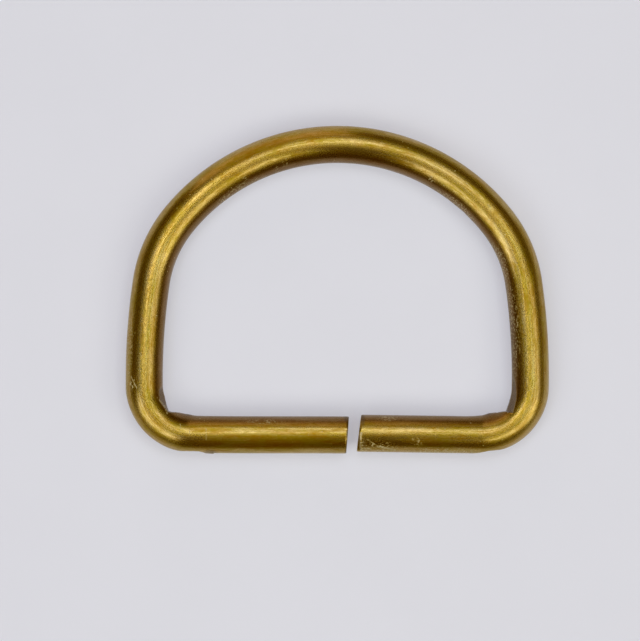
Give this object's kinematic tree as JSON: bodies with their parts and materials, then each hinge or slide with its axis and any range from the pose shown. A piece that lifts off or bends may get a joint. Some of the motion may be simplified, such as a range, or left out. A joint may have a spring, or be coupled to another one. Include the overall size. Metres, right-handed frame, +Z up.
{
  "type": "d ring",
  "caption": "Open D-shaped ring bent from round brass wire, with its cut ends meeting in the straight bar, for joining a strap to a hook or a second strap.",
  "frame": {"origin": "under the middle of the ring's box, on the surface that it lies on", "axes": "+X along the straight bar, +Y from the bar towards the bow, +Z up through the ring's flat side"},
  "size_m": [0.0462, 0.0358, 0.0041],
  "materials": {
    "brass": "drawn wire, unlacquered, dulled and lightly tarnished, with tool marks at the bends"
  },
  "bodies": {
    "root": {"ring_wire": "brass"}
  },
  "joints": []
}
